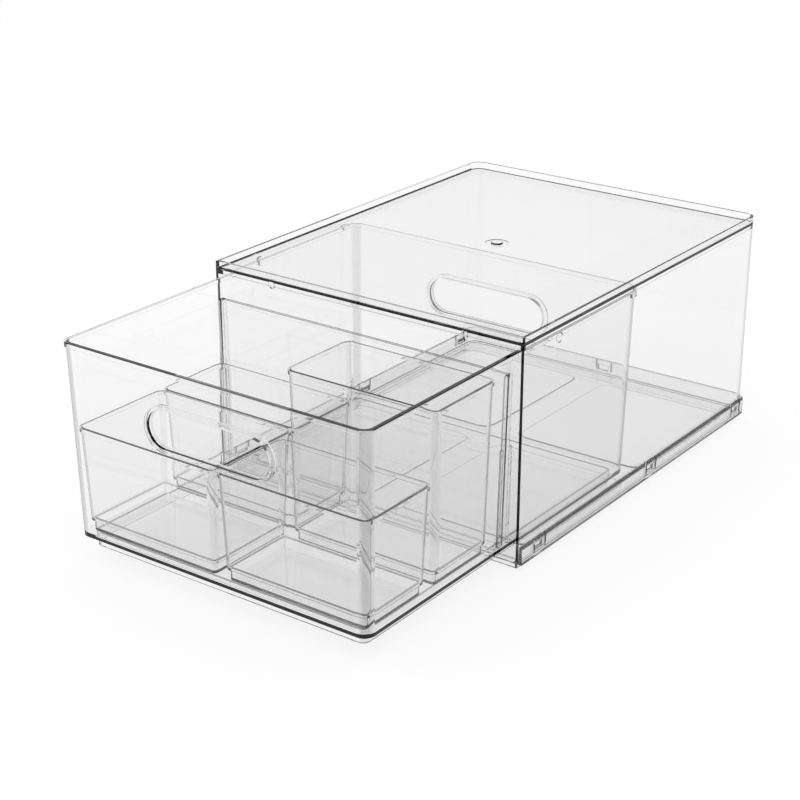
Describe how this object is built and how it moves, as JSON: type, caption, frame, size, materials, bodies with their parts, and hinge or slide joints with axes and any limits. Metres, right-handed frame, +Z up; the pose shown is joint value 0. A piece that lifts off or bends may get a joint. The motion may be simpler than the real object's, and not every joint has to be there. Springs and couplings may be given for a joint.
{
  "type": "stackable drawer box",
  "caption": "Clear stackable casing with a pull-out drawer that holds lift-out bins and a removable divider.",
  "frame": {"origin": "centre of the casing's footprint, on the plane that its foot stands on", "axes": "+Z up, +Y towards the casing's closed back, -Y the way the drawer comes out, +X to the right of someone facing the drawer"},
  "size_m": [0.2962, 0.5492, 0.186],
  "materials": {
    "casing_clear": "polished clear styrene",
    "drawer_clear": "polished clear styrene",
    "insert_clear": "polished clear styrene"
  },
  "bodies": {
    "casing": {"casing_shell": "casing_clear", "base_tray": "casing_clear"},
    "drawer_body": {"drawer": "drawer_clear"},
    "divider_body": {"divider": "insert_clear"},
    "bin_front_left_body": {"bin_front_left": "insert_clear"},
    "bin_rear_left_body": {"bin_rear_left": "insert_clear"},
    "bin_front_right_body": {"bin_front_right": "insert_clear"},
    "bin_rear_right_body": {"bin_rear_right_tall": "insert_clear"}
  },
  "joints": [
    {"name": "drawer_slide", "type": "slide", "parent": "casing", "child": "drawer_body", "axis": [0, -1, 0], "range_m": [-0.178, 0.1025]},
    {"name": "divider_lift", "type": "slide", "parent": "drawer_body", "child": "divider_body", "axis": [0, 0, 1], "range_m": [0, 0.16]},
    {"name": "bin_front_left_lift", "type": "slide", "parent": "drawer_body", "child": "bin_front_left_body", "axis": [0, 0, 1], "range_m": [0, 0.16]},
    {"name": "bin_rear_left_lift", "type": "slide", "parent": "drawer_body", "child": "bin_rear_left_body", "axis": [0, 0, 1], "range_m": [0, 0.16]},
    {"name": "bin_front_right_lift", "type": "slide", "parent": "drawer_body", "child": "bin_front_right_body", "axis": [0, 0, 1], "range_m": [0, 0.16]},
    {"name": "bin_rear_right_lift", "type": "slide", "parent": "drawer_body", "child": "bin_rear_right_body", "axis": [0, 0, 1], "range_m": [0, 0.16]}
  ]
}
